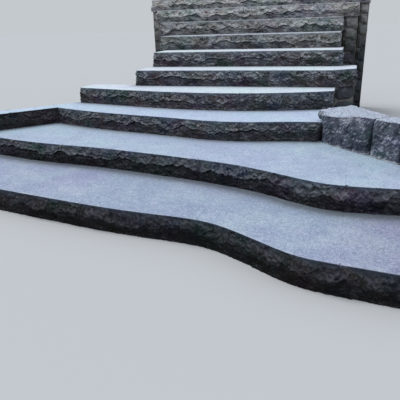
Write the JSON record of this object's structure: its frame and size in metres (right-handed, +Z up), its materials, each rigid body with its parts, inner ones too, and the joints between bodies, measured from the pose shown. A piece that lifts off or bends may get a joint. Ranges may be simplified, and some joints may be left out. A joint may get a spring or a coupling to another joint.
{
  "type": "outdoor stone steps",
  "caption": "Garden stair of dark rock-pitched stone: wide sweeping lower steps with a kerb and boulders, then a straight flight of block steps.",
  "frame": {"origin": "on the ground under the foot of the first step, on the centre line of the upper flight", "axes": "+X to the right along the steps for someone going up, +Y up the stair, +Z up"},
  "size_m": [5.12, 5.467, 1.6],
  "materials": {
    "step_stone": "treads flat and finely speckled blue-grey, fronts rock-pitched and dark",
    "kerb_stone": "rock-pitched dark stone",
    "boulder_stone": "natural broken dark stone with paler weathered tops",
    "footing_masonry": "coursed rubble of the same dark stone in grey mortar"
  },
  "bodies": {
    "root": {"boulder_1": "boulder_stone", "boulder_2": "boulder_stone", "boulder_3": "boulder_stone", "boulder_4": "boulder_stone", "kerb_stone_1": "kerb_stone", "kerb_stone_2": "kerb_stone", "step_10_block_left": "step_stone", "step_10_block_right": "step_stone", "step_10_footing": "footing_masonry", "step_1_slab_1": "step_stone", "step_1_slab_2": "step_stone", "step_1_slab_3": "step_stone", "step_1_slab_4": "step_stone", "step_1_slab_5": "step_stone", "step_2_footing": "footing_masonry", "step_2_slab_1": "step_stone", "step_2_slab_2": "step_stone", "step_2_slab_3": "step_stone", "step_2_slab_4": "step_stone", "step_3_footing": "footing_masonry", "step_3_slab_1": "step_stone", "step_3_slab_2": "step_stone", "step_3_slab_3": "step_stone", "step_4_footing": "footing_masonry", "step_4_slab_1": "step_stone", "step_4_slab_2": "step_stone", "step_4_slab_3": "step_stone", "step_5_block_left": "step_stone", "step_5_block_right": "step_stone", "step_5_end_stone": "step_stone", "step_5_footing": "footing_masonry", "step_6_block_left": "step_stone", "step_6_block_right": "step_stone", "step_6_footing": "footing_masonry", "step_7_block_left": "step_stone", "step_7_block_right": "step_stone", "step_7_footing": "footing_masonry", "step_8_block_left": "step_stone", "step_8_block_right": "step_stone", "step_8_footing": "footing_masonry", "step_9_block_left": "step_stone", "step_9_block_right": "step_stone", "step_9_footing": "footing_masonry"}
  },
  "joints": []
}
